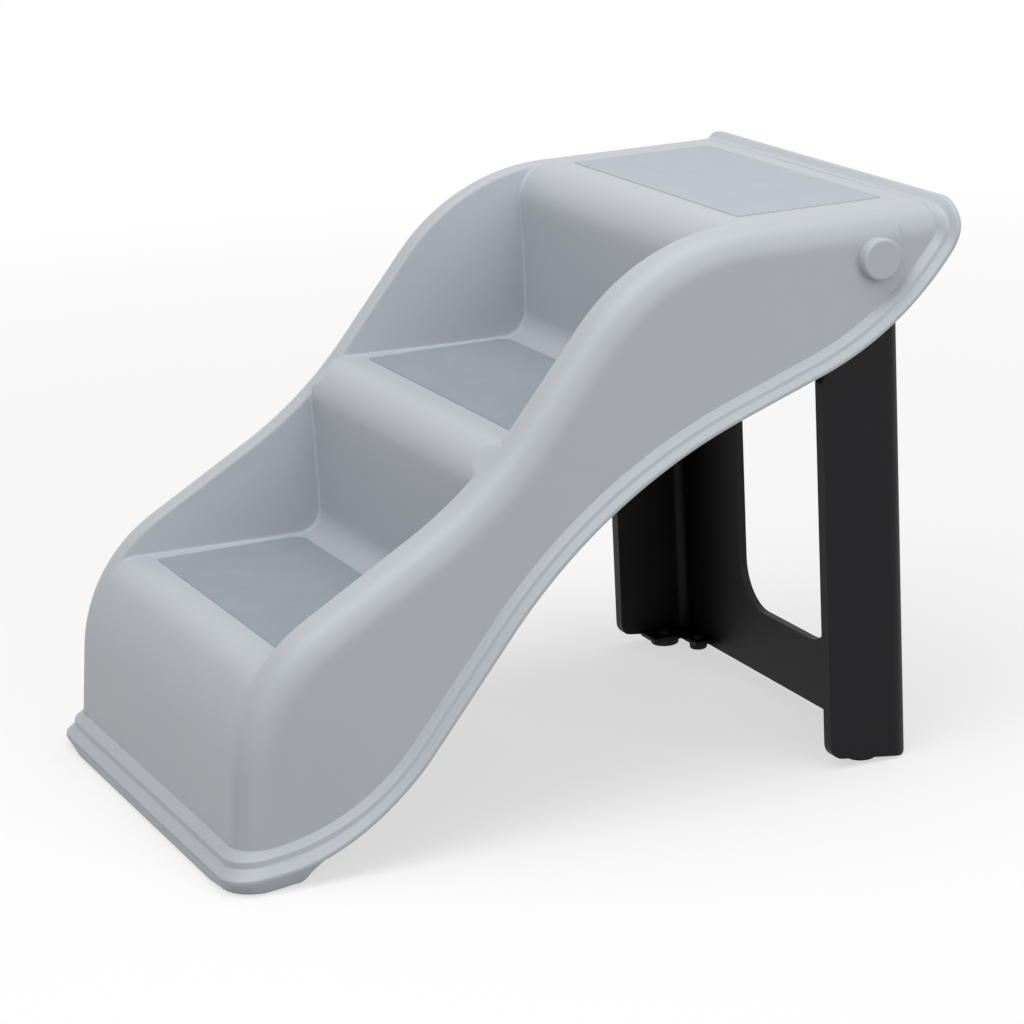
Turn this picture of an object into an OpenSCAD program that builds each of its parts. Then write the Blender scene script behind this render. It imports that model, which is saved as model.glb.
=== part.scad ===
/* [Steps] */
// Height of the first tread above the floor
first_rise = 157; // [145:1:170]
// Height of each further step
rise = 138.5; // [128:0.5:146]
// Depth of each step, from one tread's front to the next
run = 190.5; // [180:0.5:202]
// Clear width between the two side walls
tread_w = 300; // [260:2:340]
// Distance from the top mat's front edge to the back of the platform
platform_len = 157; // [148:1:170]
// Distance from the lowest mat's front edge to the front of the base
front_reach = 75; // [70:1:82]
// Radius of the two upper tread noses
nose_r = 32; // [22:1:34]
// Radius of the hollow where a tread meets the riser behind it
base_r = 20; // [8:1:26]
// Distance from a mat's front edge back to its riser face
nose_depth = 45; // [40:1:50]
// How far the front face leans back over the first rise
front_lean = 15; // [8:1:20]

/* [Shell] */
// Thickness of the moulded skin
skin = 3; // [2.4:0.1:3.6]
// Width of each hollow side wall, which is rounded over its full width
side_w = 46; // [42:1:52]
// Distance from the flange's front edge to the foot of the front face
front_setback = 10.3; // [8:0.1:13]
// Number of ribs under the treads
rib_count = 4; // [2:2:6]
// Thickness of a rib
rib_t = 2.4; // [1.6:0.1:3]
// Depth of a rib below the skin
rib_depth = 12; // [6:1:16]

/* [Flange] */
// Height of the flange's lower edge above the floor at the front
flange_z = 14; // [11:1:18]
// Width of the upper ledge round the side wall
ledge_w = 6; // [4:0.5:8]
// Width of the lower ledge outside the upper one
lip_w = 7; // [5:0.5:9]
// Thickness of the lower ledge
lip_t = 3.5; // [3:0.5:5]
// Height of the upper ledge above the lower one
ledge_t = 8.5; // [6:0.5:10]
// Height of the raised lip across the back of the platform
back_lip_h = 3.5; // [2:0.5:6]
// Width of the raised lip across the back of the platform
back_lip_w = 7.5; // [6:0.5:10]

/* [Tread mats] */
// Width of a mat
mat_w = 290; // [240:2:292]
// Depth of a mat, front to back
mat_d = 124; // [100:1:126]
// Thickness of a mat
mat_t = 1.7; // [1.4:0.1:2.2]
// Depth of the recess that holds a mat
recess_t = 1.2; // [0.8:0.1:1.3]

/* [Folding leg] */
// Depth of the leg's side webs, front to back
web_d = 70.5; // [64:0.5:76]
// Thickness of the side webs
web_t = 7; // [5:0.5:8]
// Thickness of the cross panel
panel_t = 6.5; // [4:0.5:7]
// Outer radius of the leg's back corners
leg_corner_r = 15; // [12:1:22]
// Width of the window in the cross panel
window_w = 156; // [110:2:180]
// Height of the bottom rail under the window
rail_h = 56.5; // [40:0.5:80]
// Radius of the window's lower corners
window_r = 38; // [20:1:46]
// Distance from the pivot back to the back face of the leg
pivot_to_back = 23.5; // [22:0.5:30]
// Distance from the platform's back edge to the pivot
pivot_inset = 67; // [60:1:72]
// Depth of the pivot below the platform
pivot_drop = 34; // [32:1:40]

/* [Pivot hardware] */
// Diameter of the pivot pin's round head
pin_head_d = 32; // [26:1:36]
// Height of the pivot pin's head
pin_head_h = 9.5; // [6:0.5:11]
// Diameter of the pivot pin's shaft
pin_d = 15; // [12:0.5:17]
// Diameter of the retaining screw's shank
screw_d = 3.6; // [3:0.1:4.5]

/* [Feet] */
// Diameter of the larger rubber foot under each side of the leg
foot_d = 24; // [18:1:25]
// Diameter of the smaller rubber foot under each side of the leg
stud_d = 15; // [10:1:16]
// Height of the rubber feet under the leg
foot_h = 6; // [5:0.5:8]

/* [Hidden] */
$fn = 64;
steps = 3;
cut = 1;
clear = 0.3;
run_clear = 0.08;
seat_clear = 0.03;
// The stairs' faces lie this much under the rim's flats where the two run level
seam = 0.05;

// Heights of the three treads and the part's reach, with x from the lowest mat's front edge
tread_z = [for (i = [0:steps - 1]) first_rise + i * rise];
mat_x = [for (i = [0:steps - 1]) i * run];
top_z = tread_z[steps - 1];
back_x = mat_x[steps - 1] + platform_len;
mid_x = (back_x - front_reach) / 2;
side_in = tread_w / 2;
side_out = side_in + side_w;
side_mid = side_in + side_w / 2;
rim_r = side_w / 2;
ledge_out = side_out + ledge_w;
lip_out = ledge_out + lip_w;

// Rim of the side walls: where its straight runs would meet, as shares of a run and a rise
rim_knee_share = [0.756, 0.765];
rim_crown_share = 1.512;
rim_front_share = 0.973;
// Shares of the shorter straight run that the rim's two lower bends take up
rim_bend_shares = [0.516, 0.26];

// Lower edge of the side walls, likewise
belly_toe_share = 0.205;
belly_knee_share = [1.223, 0.708];
belly_heel_share = [2.52, 1.336];
belly_rise = 10;
heel_drop = 23;
belly_bend_shares = [0.656, 0.466, 0.76, 0.63];

// How far the noses reach into the side walls, as a share of the rim's radius
nose_end_share = 0.2;
// Depth under the rim to which a nose still fades into it, as a share of the rim's radius
nose_fade_share = 0.75;

// Steepness at which the front face turns into the lowest tread's nose
nose_turn = 58;
arc_steps = 8;
// Largest gap between a bend and the flats that follow it
bend_error = 0.12;
// Flats across half of the rim's round section
rim_flat_count = 12;

// Skirt that stands on the floor under the front of the flange
pad_proud = 0.8;
skirt_inset = 1;
skirt_len = 45;
skirt_r = 14;
skirt_end_share = 0.28;
pad_w = 6;
pad_l = 56;
pad_t = 4;
pad_wall = 2.4;

// Tread mats
mat_front_r = 4;
mat_back_r = 12;
recess_clear = 0.4;

// Ribs stop short of the line that the folded leg's panel reaches
rib_overlap = 1;

// Pivot, with its parts set out from the side wall inwards
pivot_x = back_x - pivot_inset;
pivot_z = top_z - pivot_drop;
wall_in = side_out - skin;
washer_t = 1.4;
web_out = wall_in - washer_t - 2 * clear;
web_in = web_out - web_t;
bush_t = 3;
bush_flange_t = 1.5;
bush_flange_w = 3;
bush_r = pin_d / 2 + bush_t;
web_eye_r = bush_r + 7;
retainer_t = 1.6;
pin_end = web_in - bush_flange_t - clear;
pin_head_round = 2.5;
screw_head_r = 4.6;
screw_head_h = 2.8;
screw_len = 11;
washer_r = 13;

// Index mark on the wall, behind and above the pivot
mark_back = 20;
mark_up = 8;
mark_w = 2;
mark_h = 14;
mark_proud = 0.6;

// Folding leg
leg_back = pivot_x + pivot_to_back;
leg_front = leg_back - web_d;
web_lift = 0.5;
web_toe_lift = 9.5;
web_toe_r = 11;
web_heel_r = 8;
web_edge_w = 4;
web_shoulder_front = 92;
web_shoulder_back = 44;
// Angle above the level at which the web's edges run into its round eye
web_eye_turn = 22;
window_top_gap = 28;
window_top_r = 24;
shelf_t = 3;
shelf_arm = 26;
shelf_in = 53;
shelf_d = 18;

// Stop behind the leg
stop_t = 4;
stop_h = 28;
stop_gap = 0.3;
stop_below = 15;
stop_w = 33;
stop_tail = 14;

// Rubber feet under the leg
foot_from_side = 12.5;
foot_from_back = 34;
stud_from_side = 41;
stud_from_back = 16;
foot_round = 2;
stem_r = 3;
stem_head_r = 4.4;
stem_head_h = 2;
stud_stem_share = 0.8;

shell_grey = [0.70, 0.72, 0.75];
mat_grey = [0.55, 0.60, 0.63];
leg_black = [0.09, 0.09, 0.11];
rubber_black = [0.05, 0.05, 0.05];
bush_white = [0.88, 0.88, 0.84];
steel = [0.66, 0.67, 0.69];

// Paths in side view. A corner is [x, z, radius], and a path point is [x, z, heading]

function heading(p, q) = atan2(q[1] - p[1], q[0] - p[0]);
function gap(p, q) = norm([q[0] - p[0], q[1] - p[1]]);
function along(p, a, d) = [p[0] + d * cos(a), p[1] + d * sin(a)];
function turn(c, i) = heading(c[i], c[i + 1]) - heading(c[i - 1], c[i]);
function reach(c, i) = c[i][2] * tan(abs(turn(c, i)) / 2);

// Gives each inner corner the radius that takes up its share of the shorter run beside it
function bends(c, shares) = [
    for (i = [0:len(c) - 1])
        i == 0 || i == len(c) - 1 ? [c[i][0], c[i][1], 0]
        : [c[i][0], c[i][1],
           shares[i - 1] * min(gap(c[i - 1], c[i]), gap(c[i], c[i + 1])) / tan(abs(turn(c, i)) / 2)]
];

function arc_centre(c, i) = let (
    a = heading(c[i - 1], c[i]),
    p = along(c[i], a, -reach(c, i))
) along(p, a + 90 * sign(turn(c, i)), c[i][2]);

// Flats that follow a bend of radius r and turn t
function bend_steps(r, t) = r > 0 ? ceil(abs(t) / (2 * acos(1 - bend_error / r))) : 0;

// Points of a path whose corners are rounded, each with its heading
function trace(c) = concat(
    [[c[0][0], c[0][1], heading(c[0], c[1])]],
    [
        for (i = [1:len(c) - 2])
            let (
                a = heading(c[i - 1], c[i]),
                t = turn(c, i),
                o = arc_centre(c, i),
                n = bend_steps(c[i][2], t)
            )
            for (k = [0:n])
                let (h = a + t * k / max(n, 1), p = along(o, h - 90 * sign(t), c[i][2]))
                [p[0], p[1], h]
    ],
    [[c[len(c) - 1][0], c[len(c) - 1][1], heading(c[len(c) - 2], c[len(c) - 1])]]
);

// The path moved sideways, to its left when d is more than zero
function beside(path, d) = [for (p = path) along(p, p[2] + 90, d)];
function reversed(v) = [for (i = [len(v) - 1:-1:0]) v[i]];
function flat(path) = [for (p = path) [p[0], p[1]]];
// The path without points that coincide with the one before
function distinct(path) = [
    for (i = [0:len(path) - 1]) if (i == 0 || gap(path[i - 1], path[i]) > seam) path[i]
];

front_top_x = -front_reach + front_setback + front_lean;
function front_at(z) = [front_top_x - front_lean * (first_rise - z) / first_rise, z];

// The rim's top bend ends where the highest nose turns level
rim_start = front_at(-skirt_len);
rim_crown_x = rim_crown_share * run;
rim_level_x = mat_x[steps - 1] - nose_depth + nose_r;
rim_knee = [rim_knee_share[0] * run, tread_z[0] + rim_knee_share[1] * rise];
rim_crown_share_of_bend = (rim_level_x - rim_crown_x)
    / min(gap(rim_knee, [rim_crown_x, top_z]), back_x - rim_crown_x);
rim_corners = bends([
    rim_start,
    front_at(rim_front_share * first_rise),
    rim_knee,
    [rim_crown_x, top_z],
    [back_x + cut, top_z]
], concat(rim_bend_shares, [rim_crown_share_of_bend]));

belly_corners = bends([
    [-front_reach, flange_z],
    [belly_toe_share * run, flange_z + belly_rise],
    [belly_knee_share[0] * run, tread_z[0] + belly_knee_share[1] * rise],
    [belly_heel_share[0] * run, tread_z[0] + belly_heel_share[1] * rise],
    [back_x, top_z - heel_drop],
    [back_x, top_z + back_lip_h]
], belly_bend_shares);
belly = trace(belly_corners);

// The lowest nose follows the rim's first bend until nose_turn, then turns level in one arc
rim_r1 = rim_corners[1][2];
front_heading = heading(rim_corners[0], rim_corners[1]);
nose_reach = rim_r1 * tan((front_heading - nose_turn) / 2);
nose_bend = along(rim_corners[1], front_heading, nose_reach - reach(rim_corners, 1));
nose_run = (tread_z[0] - nose_bend[1]) / sin(nose_turn);
nose_top = along(nose_bend, nose_turn, nose_run);
front_nose_r = (nose_run - nose_reach) / tan(nose_turn / 2);

stair_corners = concat(
    [[rim_start[0], rim_start[1], 0],
     [nose_bend[0], nose_bend[1], rim_r1],
     [nose_top[0], nose_top[1], front_nose_r]],
    [
        for (i = [1:steps - 1])
            for (k = [0:1])
                [mat_x[i] - nose_depth, tread_z[i - 1 + k], k == 0 ? base_r : nose_r]
    ],
    [[back_x + cut, top_z, 0]]
);
stair = trace(stair_corners);
front_points = 1 + bend_steps(rim_r1, front_heading - nose_turn);

// The rim's line, with its first bend in two parts that meet where the lowest nose departs
rim_heading = heading(rim_corners[1], rim_corners[2]);
rim_bend_2 = along(nose_bend, nose_turn, nose_reach + rim_r1 * tan((nose_turn - rim_heading) / 2));
rim = trace(concat(
    [rim_corners[0], [nose_bend[0], nose_bend[1], rim_r1], [rim_bend_2[0], rim_bend_2[1], rim_r1]],
    [for (i = [2:len(rim_corners) - 1]) rim_corners[i]]
));

// Extrudes a side view across the part, from y = -half to y = half
module across(half) {
    rotate([90, 0, 0])
        linear_extrude(height = 2 * half, center = true)
            children();
}

module both_sides() {
    children();
    mirror([0, 1, 0]) children();
}

// Cross-section of a side wall's rim: flats round a half circle, as [offset, depth]
function rim_section(inset) = [
    for (k = [0:rim_flat_count - 1])
        let (
            a = 180 * (k + 0.5) / rim_flat_count,
            r = (rim_r - inset) / cos(90 / rim_flat_count)
        )
        [r * cos(a), rim_r - r * sin(a)]
];

// A solid swept through rings of n points each, the last two of which are its feet
module swept(points, n) {
    rings = len(points) / n;
    sides = [
        for (i = [0:rings - 2])
            for (k = [0:n - 1])
                let (m = (k + 1) % n)
                [i * n + k, (i + 1) * n + k, (i + 1) * n + m, i * n + m]
    ];
    polyhedron(
        points = points,
        faces = concat(sides, [
            [for (k = [0:n - 1]) (n - 2 + k) % n],
            [for (k = [0:n - 1]) (rings - 1) * n + (2 * n - 2 - k) % n]
        ])
    );
}

// A whole side wall: the section swept along the rim's line, over sides that run down past
// the floor
module side_wall(inset) {
    section = rim_section(inset);
    n = len(section);
    swept([
        for (p = rim)
            let (foot = along(p, p[2] - 90, section[0][1]))
            each concat(
                [for (f = section)
                    let (q = along(p, p[2] - 90, f[1]))
                    [q[0], side_mid + f[0], q[1]]],
                [for (f = [section[n - 1], section[0]])
                    [foot[0], side_mid + f[0], -2 * skirt_len]]
            )
    ], n + 2);
}

// Everything under a path, down past the floor
module under(path) {
    polygon(concat(flat(path), [
        [path[len(path) - 1][0], -skirt_len],
        [path[0][0], -skirt_len]
    ]));
}

// A ledge of the flange: the band beside the belly line, rounded at the front and the top corners
module ledge(half, low, high, front, corner_r, crest) {
    intersection() {
        across(half)
            polygon(concat(flat(beside(belly, low)), reversed(flat(beside(belly, high)))));
        translate([0, 0, -cut])
            linear_extrude(height = top_z + skirt_len)
                front_rounded(half, front, corner_r);
        translate([front - cut, 0, 0])
            rotate([90, 0, 90])
                linear_extrude(height = back_x - front + 2 * cut)
                    top_rounded(half, lip_r, crest);
    }
}

lip_r = rim_r + 5;
lip_corner_r = rim_r + ledge_w + lip_w;

// Plan outline with two rounded front corners
module front_rounded(half, front, r) {
    translate([front + r, -half]) square([back_x - front, 2 * half]);
    translate([front, -half + r]) square([r + cut, 2 * (half - r)]);
    for (s = [-1, 1])
        translate([front + r, s * (half - r)]) circle(r = r);
}

// Outline seen from the front with two rounded top corners
module top_rounded(half, r, high) {
    translate([-half, -cut]) square([2 * half, high - r + cut]);
    translate([-half + r, -cut]) square([2 * (half - r), high + cut]);
    for (s = [-1, 1])
        translate([s * (half - r), high - r]) circle(r = r);
}

module front_skirt() {
    foot = [
        [-front_reach + skirt_inset, flange_z + lip_t / 2, 0],
        [-front_reach + 2 * skirt_inset, pad_proud, 0],
        [-front_reach + skirt_len, pad_proud, skirt_r],
        [skirt_end_share * belly_toe_share * run, flange_z + belly_rise, 0]
    ];
    intersection() {
        across(lip_out - skirt_inset)
            difference() {
                polygon(flat(trace(foot)));
                polygon(concat(
                    flat(beside(belly, lip_t / 2)),
                    [[back_x, top_z + skirt_len], [-front_reach - skirt_len, top_z + skirt_len]]
                ));
            }
        translate([0, 0, -cut])
            linear_extrude(height = top_z)
                front_rounded(lip_out - skirt_inset, -front_reach + skirt_inset, lip_corner_r - skirt_inset);
    }
}

module outer_form() {
    difference() {
        union() {
            both_sides() side_wall(0);
            stair_block();
        }
        across(lip_out)
            polygon(concat(
                flat(belly),
                [[back_x + skirt_len, top_z + back_lip_h],
                 [back_x + skirt_len, -3 * skirt_len],
                 [-front_reach - skirt_len, -3 * skirt_len],
                 [-front_reach - skirt_len, flange_z]]
            ));
    }
    ledge(ledge_out, lip_t / 2, lip_t + ledge_t, -front_reach + lip_w - lip_t / 2,
        rim_r + ledge_w, top_z - seam);
    ledge(lip_out, 0, lip_t, -front_reach, lip_corner_r, top_z + back_lip_h);
    back_lip();
    front_skirt();
}

// The line where a tread or nose meets the middle of a side wall. A point that stands above
// the rim, or a little below it, moves to the rim's line
function at_rim(p) =
    let (crest = lookup(p[0], flat(rim)) - seam)
    [p[0], crest - p[1] < nose_fade_share * rim_r ? crest : p[1]];

// The stairs' solid form, from wall to wall, swept along the treads and risers. Past the ends
// of the noses it slopes to the rim's line, so that the noses fade into the rim. Each foot
// stands a little further on than its point, so that no side folds up at a riser
module stair_block() {
    line = distinct(beside(stair, -seam));
    nose_end = side_in + nose_end_share * rim_r;
    swept([
        for (i = [0:len(line) - 1])
            let (
                p = line[i],
                q = i > front_points ? at_rim(p) : p,
                foot_x = p[0] + i * seam
            )
            each [
                [q[0], side_mid, q[1]],
                [p[0], nose_end, p[1]],
                [p[0], -nose_end, p[1]],
                [q[0], -side_mid, q[1]],
                [foot_x, -side_mid, -2 * skirt_len],
                [foot_x, side_mid, -2 * skirt_len]
            ]
    ], 6);
}

module back_lip() {
    intersection() {
        translate([back_x - back_lip_w, -lip_out, top_z - heel_drop])
            cube([back_lip_w, 2 * lip_out, heel_drop + back_lip_h]);
        translate([back_x - back_lip_w - cut, 0, 0])
            rotate([90, 0, 90])
                linear_extrude(height = back_lip_w + 2 * cut)
                    top_rounded(lip_out, lip_r, top_z + back_lip_h);
    }
}

// The hollow inside, open below: both side walls, the space under the stairs, and between
// the two whatever lies a rim's radius under the rim. At the front face and the platform the
// space reaches the middle of the side walls, but ends inside the block's own wide parts
module hollow() {
    line = beside(stair, -skin - seam);
    last = len(line) - 1;
    difference() {
        union() {
            both_sides() side_wall(skin);
            across(side_in + nose_end_share * rim_r - skin) under(line);
            across(side_mid) under([for (i = [0:front_points - 1]) line[i]]);
            across(side_mid) under([[line[last - 1][0] + skin, line[last - 1][1]], line[last]]);
            across(side_mid)
                intersection() {
                    under(line);
                    under(beside(rim, -rim_r));
                }
        }
        translate([back_x - back_lip_w, -side_out, -3 * skirt_len])
            cube([skirt_len, 2 * side_out, 2 * top_z]);
        translate([-front_reach - skirt_len, -side_out, -3 * skirt_len])
            cube([back_x + front_reach + 2 * skirt_len, 2 * side_out, 3 * skirt_len - cut]);
    }
}

// Ribs that follow the underside of the treads and end above the line through their back corners
module ribs() {
    span = tread_w * (rib_count - 1) / rib_count;
    slope = atan2(rise, run);
    corner = [mat_x[1] - nose_depth, tread_z[0] - skin];
    for (k = [0:rib_count - 1])
        translate([0, -span / 2 + span * k / (rib_count - 1), 0])
            across(rib_t / 2)
                intersection() {
                    polygon(concat(
                        flat(beside(stair, -skin + rib_overlap)),
                        reversed(flat(beside(stair, -skin - rib_depth)))
                    ));
                    translate(corner)
                        rotate(slope)
                            square([2 * steps * run, steps * run]);
                    square([back_x - back_lip_w, top_z]);
                }
}

// Two walls behind the leg, each with a nose that the upright leg leans on
module leg_stops() {
    both_sides() {
        translate([leg_back + stop_gap, wall_in - stop_w, pivot_z - stop_below - stop_h])
            cube([stop_t, stop_w + skin / 2, stop_h]);
        translate([leg_back + stop_gap + stop_t - rib_t, wall_in - stop_w, pivot_z - stop_below - stop_tail])
            cube([rib_t, stop_w - rim_r, pivot_drop + stop_below + stop_tail - skin / 2]);
    }
}

// Small upright mark beside each pivot
module index_marks() {
    both_sides()
        translate([pivot_x + mark_back, side_out - skin / 2, pivot_z + mark_up])
            cube([mark_w, skin / 2 + mark_proud, mark_h]);
}

module body_shell() color(shell_grey) {
    difference() {
        union() {
            difference() {
                outer_form();
                hollow();
            }
            ribs();
            leg_stops();
            index_marks();
        }
        for (i = [0:steps - 1])
            translate([0, 0, tread_z[i] - recess_t])
                linear_extrude(height = recess_t + cut)
                    mat_outline(i, recess_clear);
        both_sides()
            translate([pivot_x, side_out + cut, pivot_z])
                rotate([90, 0, 0])
                    cylinder(r = pin_d / 2 + seat_clear, h = skin + 2 * cut);
        both_sides() front_pad_form(seat_clear, cut);
    }
}

// A mat in plan: small front corners, and wide back corners on the lower treads
module mat_outline(i, grow) {
    back_r = i == steps - 1 ? mat_front_r : mat_back_r;
    x0 = mat_x[i] - grow;
    x1 = mat_x[i] + mat_d + grow;
    half = mat_w / 2 + grow;
    translate([x0 + mat_front_r, -half]) square([x1 - x0 - mat_front_r - back_r, 2 * half]);
    translate([x0, -half + mat_front_r]) square([mat_front_r, 2 * (half - mat_front_r)]);
    translate([x1 - back_r, -half + back_r]) square([back_r, 2 * (half - back_r)]);
    for (s = [-1, 1]) {
        translate([x0 + mat_front_r, s * (half - mat_front_r)]) circle(r = mat_front_r);
        translate([x1 - back_r, s * (half - back_r)]) circle(r = back_r);
    }
}

module tread_mat(i) {
    color(mat_grey)
        translate([0, 0, tread_z[i] - recess_t])
            linear_extrude(height = mat_t)
                mat_outline(i, 0);
}

// Rubber strip let into the skirt under one front corner
module front_pad_form(grow, extra) {
    translate([
        -front_reach + 2 * skirt_inset + pad_wall - grow,
        side_in - pad_l / 2 - grow,
        pad_proud - extra
    ])
        cube([pad_w + 2 * grow, pad_l + 2 * grow, pad_t - pad_proud + extra + grow]);
}

module front_pad(s) {
    color(rubber_black)
        mirror([0, s < 0 ? 1 : 0, 0])
            front_pad_form(0, pad_proud);
}

// The leg seen from above: two webs with turned-in front edges, joined by the cross panel
module leg_plan() {
    difference() {
        union() {
            translate([leg_front, -web_out])
                square([web_d - leg_corner_r, 2 * web_out]);
            translate([leg_back - leg_corner_r, -web_out + leg_corner_r])
                square([leg_corner_r, 2 * (web_out - leg_corner_r)]);
            for (s = [-1, 1])
                translate([leg_back - leg_corner_r, s * (web_out - leg_corner_r)])
                    circle(r = leg_corner_r);
        }
        inner_r = leg_corner_r - panel_t;
        translate([leg_front + web_edge_w, -web_in])
            square([web_d - web_edge_w - leg_corner_r, 2 * web_in]);
        translate([leg_front - cut, -web_in + web_edge_w])
            square([web_edge_w + 2 * cut, 2 * (web_in - web_edge_w)]);
        translate([leg_back - leg_corner_r - cut, -web_in + inner_r])
            square([inner_r + cut, 2 * (web_in - inner_r)]);
        for (s = [-1, 1])
            translate([leg_back - leg_corner_r, s * (web_in - inner_r)])
                circle(r = inner_r);
    }
}

// The leg seen from the side, up to its round eye
module leg_side() {
    web = [
        [leg_front, pivot_z - web_shoulder_front, 0],
        [leg_front, web_lift + web_toe_lift, web_toe_r],
        [leg_back, web_lift, web_heel_r],
        [leg_back, pivot_z - web_shoulder_back, 0]
    ];
    polygon(concat(
        flat(trace(web)),
        [[pivot_x + web_eye_r * cos(web_eye_turn), pivot_z + web_eye_r * sin(web_eye_turn)],
         [pivot_x - web_eye_r * cos(web_eye_turn), pivot_z + web_eye_r * sin(web_eye_turn)]]
    ));
    translate([pivot_x, pivot_z]) circle(r = web_eye_r);
}

module leg_window() {
    low = web_lift + rail_h;
    high = pivot_z - web_shoulder_front - window_top_gap;
    half = window_w / 2;
    translate([0, low + window_r]) translate([-half, 0]) square([2 * half, high - low - window_r - window_top_r]);
    translate([-half + window_r, low]) square([2 * (half - window_r), window_r + cut]);
    translate([-half + window_top_r, high - window_top_r - cut])
        square([2 * (half - window_top_r), window_top_r + cut]);
    for (s = [-1, 1]) {
        translate([s * (half - window_r), low + window_r]) circle(r = window_r);
        translate([s * (half - window_top_r), high - window_top_r]) circle(r = window_top_r);
    }
}

// Shelf in the leg's bottom corner that carries the rubber feet
module leg_shelf() {
    arm_front = leg_back - panel_t - shelf_arm - shelf_d;
    translate([0, 0, foot_h])
        linear_extrude(height = shelf_t) {
            translate([arm_front, web_in - shelf_arm])
                square([leg_back - panel_t / 2 - arm_front, shelf_arm + web_t / 2 - panel_t / 2]);
            translate([leg_back - panel_t - shelf_d, web_in - shelf_in])
                square([shelf_d + panel_t / 2, shelf_in - shelf_arm + cut]);
        }
}

module leg_frame() color(leg_black) {
    difference() {
        union() {
            intersection() {
                linear_extrude(height = top_z) leg_plan();
                across(web_out + cut) leg_side();
            }
            both_sides() leg_shelf();
        }
        translate([leg_back - panel_t - cut, 0, 0])
            rotate([90, 0, 90])
                linear_extrude(height = panel_t + 2 * cut)
                    leg_window();
        both_sides()
            translate([pivot_x, web_out + cut, pivot_z])
                rotate([90, 0, 0])
                    cylinder(r = bush_r + seat_clear, h = web_t + 2 * cut);
        both_sides()
            translate([pivot_x, web_in, pivot_z])
                rotate([90, 0, 0])
                    cylinder(r = bush_r + bush_flange_w + cut, h = leg_corner_r);
        both_sides() {
            at_foot() hole(stem_r);
            at_stud() hole(stem_r * stud_stem_share);
        }
    }
}

module hole(r) {
    translate([0, 0, foot_h - cut])
        cylinder(r = r + seat_clear, h = shelf_t + 2 * cut);
}

module at_foot() {
    translate([leg_back - foot_from_back, web_in - foot_from_side, 0]) children();
}

module at_stud() {
    translate([leg_back - stud_from_back, web_in - stud_from_side, 0]) children();
}

// Turned parts on the pivot lie along y, seen from the outer end of the pin
module on_pivot(s, y) {
    mirror([0, s < 0 ? 1 : 0, 0])
        translate([pivot_x, y, pivot_z])
            rotate([90, 0, 0])
                children();
}

module pivot_pin(s) {
    head_r = pin_head_d / 2;
    shaft = side_out - pin_end;
    color(shell_grey)
        on_pivot(s, side_out + pin_head_h)
            difference() {
                union() {
                    rotate_extrude()
                        polygon(concat(
                            [[0, 0]],
                            [
                                for (k = [0:arc_steps])
                                    let (a = 90 - 90 * k / arc_steps)
                                    [head_r - pin_head_round + pin_head_round * cos(a),
                                     pin_head_round - pin_head_round * sin(a)]
                            ],
                            [[head_r, pin_head_h], [0, pin_head_h]]
                        ));
                    translate([0, 0, pin_head_h - cut])
                        cylinder(r = pin_d / 2, h = shaft + cut);
                }
                translate([0, 0, pin_head_h + shaft - screw_len])
                    cylinder(r = screw_d / 2 + seat_clear, h = screw_len + cut);
            }
}

module ring(outer_r, inner_r, h) {
    difference() {
        cylinder(r = outer_r, h = h);
        translate([0, 0, -cut]) cylinder(r = inner_r, h = h + 2 * cut);
    }
}

module thrust_washer(s) {
    color(bush_white)
        on_pivot(s, wall_in - clear)
            ring(washer_r, pin_d / 2 + run_clear, washer_t);
}

module pivot_bush(s) {
    color(bush_white)
        on_pivot(s, web_out)
            difference() {
                union() {
                    cylinder(r = bush_r, h = web_t + bush_flange_t);
                    translate([0, 0, web_t])
                        cylinder(r = bush_r + bush_flange_w, h = bush_flange_t);
                }
                translate([0, 0, -cut])
                    cylinder(r = pin_d / 2 + run_clear, h = web_t + bush_flange_t + 2 * cut);
            }
}

module retaining_washer(s) {
    color(steel)
        on_pivot(s, pin_end)
            ring(bush_r + bush_flange_w, screw_d / 2 + run_clear, retainer_t);
}

module retaining_screw(s) {
    color(steel)
        on_pivot(s, pin_end - retainer_t) {
            difference() {
                rotate_extrude()
                    polygon([
                        [0, 0],
                        [screw_head_r, 0],
                        [screw_head_r, screw_head_h / 2],
                        [screw_head_r / 2, screw_head_h],
                        [0, screw_head_h]
                    ]);
                translate([0, 0, screw_head_h / 2]) screw_cross(screw_head_h);
            }
            translate([0, 0, -screw_len + 2 * cut + retainer_t])
                cylinder(r = screw_d / 2, h = screw_len - 2 * cut - retainer_t + cut / 2);
        }
}

module screw_cross(h) {
    slot = screw_d / 4;
    for (a = [0, 90])
        rotate(a)
            translate([-screw_d / 2, -slot / 2, 0])
                cube([screw_d, slot, h]);
}

// A rubber button with a soft lower edge and a stem that snaps through the shelf
module rubber_foot(r, stem) {
    color(rubber_black) {
        rotate_extrude()
            polygon(concat(
                [[0, 0]],
                [
                    for (k = [0:arc_steps])
                        let (a = 90 * k / arc_steps)
                        [r - foot_round + foot_round * sin(a), foot_round - foot_round * cos(a)]
                ],
                [[r, foot_h], [0, foot_h]]
            ));
        translate([0, 0, foot_h - cut]) cylinder(r = stem, h = shelf_t + 2 * cut);
        translate([0, 0, foot_h + shelf_t]) cylinder(r = stem * stem_head_r / stem_r, h = stem_head_h);
    }
}

module leg_foot(s) {
    mirror([0, s < 0 ? 1 : 0, 0]) at_foot() rubber_foot(foot_d / 2, stem_r);
}

module leg_stud(s) {
    mirror([0, s < 0 ? 1 : 0, 0]) at_stud() rubber_foot(stud_d / 2, stem_r * stud_stem_share);
}

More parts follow.
